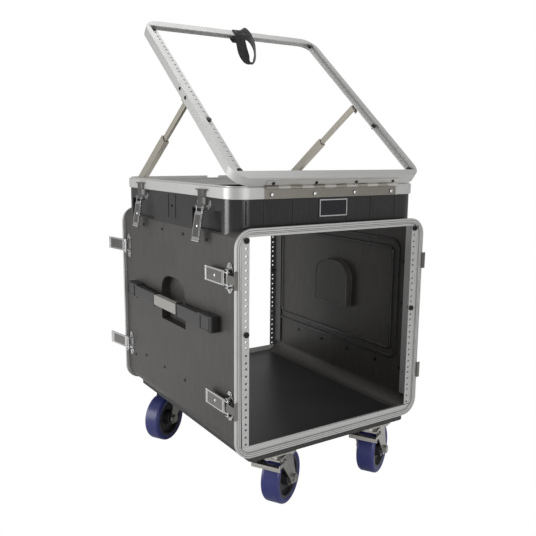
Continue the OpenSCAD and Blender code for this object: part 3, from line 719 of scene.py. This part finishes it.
for node in [node for node in frame["nodes"] if node.startswith("lever_")]:
    for part, look in (("rim", None), ("field", darkChrome)):
        makePieces(node + "_" + part, lambda bm: leverDress(bm, node, part), "latch_chrome",
                   nodeBody[node], look)


# mm: the sleeve at each end of a grip, then the raised outline on each end of the bar
handleTrim = {"sleeve": (18, 5, 33), "sleeveIn": 8, "sleeveGap": 2.2,
              "line": 1.6, "proud": 0.9, "near": 6, "far": 46, "half": 15}


def handleDress(bm):
    low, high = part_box("handle_bars")
    gripLow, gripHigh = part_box("handle_grips")
    middleZ = (low.z + high.z) / 2
    gap, line, proud, near, far, half = (
        handleTrim[key] * mm for key in ("sleeveGap", "line", "proud", "near", "far", "half"))
    sleeve = tuple(size * mm for size in handleTrim["sleeve"])
    for side, outer in ((-1, low.x), (1, high.x)):
        for y in (gripLow.y - gap, gripHigh.y + gap):
            block(bm, Vector((outer - side * handleTrim["sleeveIn"] * mm, y, middleZ)), worldAxes,
                  sleeve, 1.0 * mm)
        face = outer + side * proud / 2
        for end, inward in ((low.y, 1), (high.y, -1)):
            for at in (near, far):
                block(bm, Vector((face, end + inward * at, middleZ)), worldAxes,
                      (proud * 1.6, line, 2 * half), 0.3 * mm)
            for lift in (-half, half):
                block(bm, Vector((face, end + inward * (near + far) / 2, middleZ + lift)),
                      worldAxes, (proud * 1.6, far - near, line), 0.3 * mm)


makePieces("handle_trim", handleDress, "handle_black", "case")


def roundedPath(width, height, radius, steps=8):
    # a rounded rectangle about the origin, as (across, up) pairs
    corners = ((1, 1, 0), (-1, 1, 90), (-1, -1, 180), (1, -1, 270))
    return [(sx * (width / 2 - radius) + radius * cos(radians(turn + 90 * k / steps)),
             sy * (height / 2 - radius) + radius * sin(radians(turn + 90 * k / steps)))
            for sx, sy, turn in corners for k in range(steps + 1)]


# the moulding's section, as parts of its width and height
beadSection = ((-0.5, -0.2), (-0.5, 0.4), (-0.3, 1), (0.3, 1), (0.5, 0.4), (0.5, -0.2))


def beadLoop(bm, path, normal, width, height):
    # a low moulding swept round a closed flat path, standing along normal
    count = len(path)
    rings = []
    for i, point in enumerate(path):
        before, after = path[i - 1], path[(i + 1) % count]
        along = (after - point).normalized() + (point - before).normalized()
        side = normal.cross(along).normalized()
        rings.append([bm.verts.new(point + side * width * across + normal * height * out)
                      for across, out in beadSection])
    for i in range(count):
        joinRings(bm, rings[i], rings[(i + 1) % count])


# mm: loops on the side walls as (length, height, corner), and the arched rim of each pocket
wallBeads = {"x": 246, "y": -10, "z": 443.5, "outer": (525, 304, 24), "inner": (485, 264, 14),
             "width": 7, "height": 4}
pocketRim = {"x": 228, "y": -26.5, "z": 396.5, "half": 68.5, "foot": -2.5, "rise": 62,
             "arch": 53.5, "width": 3.4, "height": 1.2}


def innerBeads(bm):
    for side in (-1, 1):
        inward = Vector((-side, 0, 0))
        for key in ("outer", "inner"):
            path = [Vector((side * wallBeads["x"], wallBeads["y"] + y, wallBeads["z"] + z)) * mm
                    for y, z in roundedPath(*wallBeads[key])]
            beadLoop(bm, path, inward, wallBeads["width"] * mm, wallBeads["height"] * mm)
        half, foot = pocketRim["half"], pocketRim["foot"]
        outline = [(-half, foot), (half, foot)]
        for k in range(25):
            turn = radians(7.5 * k)
            across = abs(cos(turn)) ** 0.7 * (1 if cos(turn) > 0 else -1)
            climb = max(sin(turn), 0) ** 0.8
            outline.append((half * across, pocketRim["rise"] + pocketRim["arch"] * climb))
        path = [Vector((side * pocketRim["x"], pocketRim["y"] + y, pocketRim["z"] + z)) * mm
                for y, z in outline]
        beadLoop(bm, path, inward, pocketRim["width"] * mm, pocketRim["height"] * mm)


# mm: each line's distance from the frame's outer edge, and 1 where it lies down on the lip
frameLines = {"insets": ((4.0, 0.0), (8.4, 0.0), (11.8, 1.0)), "lip": 4, "width": 1.2,
              "height": 0.12, "corner": 40}


def grooveShadeLines(bm):
    # painted shade: dark lines along the aluminium section, standing in for the shade in its grooves
    for node, face in (("front_frame", -1), ("rear_frame", 1)):
        low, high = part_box(node)
        level = low.y if face < 0 else high.y
        middle = (low + high) / 2
        for inset, sunk in frameLines["insets"]:
            y = level - face * sunk * frameLines["lip"] * mm
            outline = roundedPath((high.x - low.x) / mm - 2 * inset,
                                  (high.z - low.z) / mm - 2 * inset,
                                  frameLines["corner"] - inset, 10)
            path = [Vector((middle.x + x * mm, y, middle.z + z * mm)) for x, z in outline]
            beadLoop(bm, path, Vector((0, face, 0)), frameLines["width"] * mm,
                     frameLines["height"] * mm)


makePieces("wall_beads", innerBeads, "shell_black", "case", glossShell)
# painted shade: the groove lines wear the dark painted-shade steel
makePieces("frame_groove_shade", grooveShadeLines, "frame_aluminium", "case", paintedShadeSteel)


# mm: places across the leaf, how far in from its front face and down from the pin
hingeHeads = {"across": (-164, -55, 55, 164), "front": 3.6, "down": 15, "radius": 4.4, "height": 2.2}


def hingeScrews(bm):
    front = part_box("hinge_lower_leaf")[0].y + hingeHeads["front"] * mm
    z = bodyJoint["lid"]["pos_m"][2] - hingeHeads["down"] * mm
    for across in hingeHeads["across"]:
        domeHead(bm, Vector((across * mm, front, z)), (0, -1, 0),
                 hingeHeads["radius"] * mm, hingeHeads["height"] * mm)


makePieces("hinge_screw_heads", hingeScrews, "latch_chrome", "case")


# mm: how far in from each end of the collar, how far proud and up, and the bead's own size
collarBead = {"in": 268, "proud": 0.4, "up": 6, "size": (1.6, 3, 56), "bevel": 0.6}


def collarBeads(bm):
    # slim upright beads on the collar's sides
    low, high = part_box("collar")
    size = tuple(part * mm for part in collarBead["size"])
    z = (low.z + high.z) / 2 + collarBead["up"] * mm
    for side, x in ((-1, low.x), (1, high.x)):
        for y in (low.y + collarBead["in"] * mm, high.y - collarBead["in"] * mm):
            block(bm, Vector((x + side * collarBead["proud"] * mm, y, z)), worldAxes, size,
                  collarBead["bevel"] * mm)


makePieces("collar_beads", collarBeads, "shell_black", "case", glossShell)
print("trim made")


# floor, light and camera

studioSet = {"floorHalf": 12.0, "floorColor": (0.86, 0.86, 0.86), "floorRoughness": 0.7,
             "floorDrop": 0.5 * mm, "roomLight": 0.42, "aim": (0, 0, 0.5)}
# each lamp's place in metres, the side of its square and its power in watts
lampSet = {"key": ((-3.0, 1.1, 0.9), 1.6, 54.0), "front": ((-0.2, -3.4, 1.3), 1.8, 42.0),
           "top": ((0.2, 0.6, 3.4), 2.2, 34.0), "right": ((2.6, -1.2, 1.8), 1.6, 12.0)}


def makeStudio():
    # the floor only catches shadow and bounce; the camera sees a white backdrop instead
    bm = bmesh.new()
    bmesh.ops.create_grid(bm, x_segments=1, y_segments=1, size=studioSet["floorHalf"])
    floor = meshObject("floor", bm)
    pale = Finish("paleFloor", studioSet["floorColor"], studioSet["floorRoughness"])
    floor.data.materials.append(pale.material)
    floor.location.z = -studioSet["floorDrop"]
    floor.visible_camera = False
    world = bpy.data.worlds.new("studio")
    world.use_nodes = True
    tree = world.node_tree
    room = tree.nodes["Background"]
    room.inputs["Color"].default_value = (1.0, 1.0, 1.0, 1.0)
    room.inputs["Strength"].default_value = studioSet["roomLight"]
    backdrop = addNode(tree, "ShaderNodeBackground", Color=(1.0, 1.0, 1.0, 1.0), Strength=1.0)
    rays = addNode(tree, "ShaderNodeLightPath")
    choose = addNode(tree, "ShaderNodeMixShader")
    tree.links.new(rays.outputs["Is Camera Ray"], choose.inputs["Fac"])
    tree.links.new(room.outputs[0], choose.inputs[1])
    tree.links.new(backdrop.outputs[0], choose.inputs[2])
    tree.links.new(choose.outputs[0], tree.nodes["World Output"].inputs["Surface"])
    bpy.context.scene.world = world
    for name, (place, size, power) in lampSet.items():
        data = bpy.data.lights.new(name, "AREA")
        data.size = size
        data.energy = power
        lamp = bpy.data.objects.new(name, data)
        lamp.location = place
        lamp.rotation_mode = "QUATERNION"
        aim = Vector(studioSet["aim"]) - Vector(place)
        lamp.rotation_quaternion = aim.to_track_quat("-Z", "Y")
        bpy.context.scene.collection.objects.link(lamp)


# metres, degrees, and the lens in mm
cameraSet = {"place": (-0.9089, -1.4453, 0.8055), "turn": -33.2, "down": 9.95, "roll": 0.52,
             "lens": 44.34}


def makeCamera():
    data = bpy.data.cameras.new("camera")
    data.lens = cameraSet["lens"]
    data.sensor_width = 36.0
    camera = bpy.data.objects.new("camera", data)
    camera.matrix_world = (Matrix.Translation(cameraSet["place"])
                           @ Matrix.Rotation(radians(cameraSet["turn"]), 4, "Z")
                           @ Matrix.Rotation(radians(90 - cameraSet["down"]), 4, "X")
                           @ Matrix.Rotation(radians(cameraSet["roll"]), 4, "Z"))
    bpy.context.scene.collection.objects.link(camera)
    bpy.context.scene.camera = camera


makeStudio()
makeCamera()
scene = bpy.context.scene
scene.view_settings.view_transform = "Standard"
print("studio and camera made")
